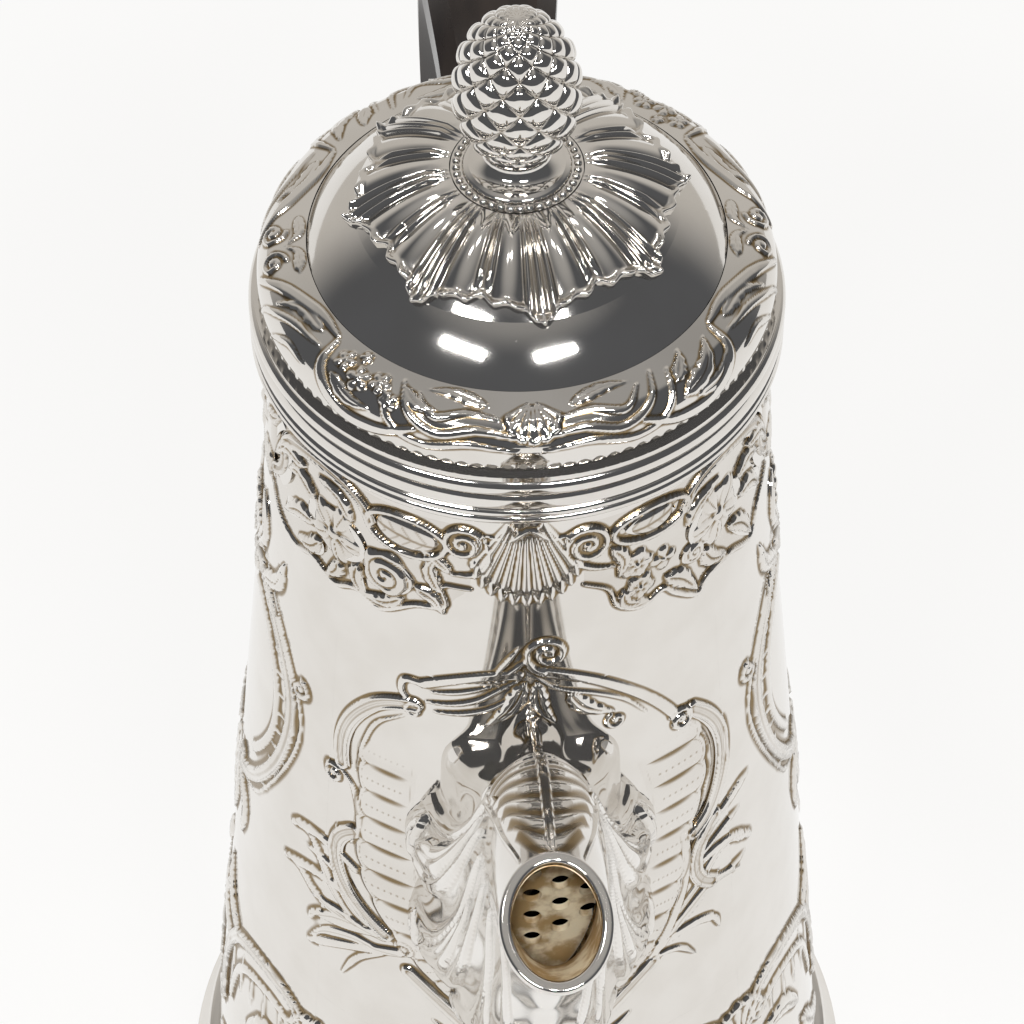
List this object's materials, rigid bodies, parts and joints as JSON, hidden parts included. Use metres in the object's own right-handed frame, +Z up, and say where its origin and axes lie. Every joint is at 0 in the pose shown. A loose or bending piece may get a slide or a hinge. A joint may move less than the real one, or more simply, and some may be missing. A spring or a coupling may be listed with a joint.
{
  "type": "silver coffee pot",
  "caption": "Tapering silver coffee pot with a cast swan-neck spout, a hinged domed lid with a fluted calyx and pine-cone finial, and a dark wood handle pinned in silver sockets.",
  "frame": {"origin": "centre of the foot's resting face", "axes": "+Z up, the spout points to -Y and the handle to +Y, +X to the right as the spout is faced"},
  "size_m": [0.125, 0.2326, 0.275],
  "materials": {
    "silver": "polished",
    "handle_wood": "polished"
  },
  "bodies": {
    "pot": {"body_wall": "silver", "base_plate": "silver", "foot_ring": "silver", "lip_moulding": "silver", "spout_left_half": "silver", "spout_right_half": "silver", "spout_lip": "silver", "upper_socket": "silver", "lower_socket": "silver", "handle_grip": "handle_wood", "upper_handle_pin": "silver", "lower_handle_pin": "silver", "hinge_body_leaf": "silver", "hinge_pin": "silver"},
    "lid": {"lid_dome": "silver", "lid_flange": "silver", "lid_bezel": "silver", "lid_calyx": "silver", "bead_collar": "silver", "finial_foot": "silver", "finial_cone": "silver", "finial_stud": "silver", "finial_washer": "silver", "finial_nut": "silver", "hinge_lid_leaf": "silver"}
  },
  "joints": [
    {"name": "lid_hinge", "type": "hinge", "parent": "pot", "child": "lid", "pos_m": [0, 0.0447, 0.21705], "axis": [-1, 0, 0], "range_deg": [0, 100]}
  ]
}
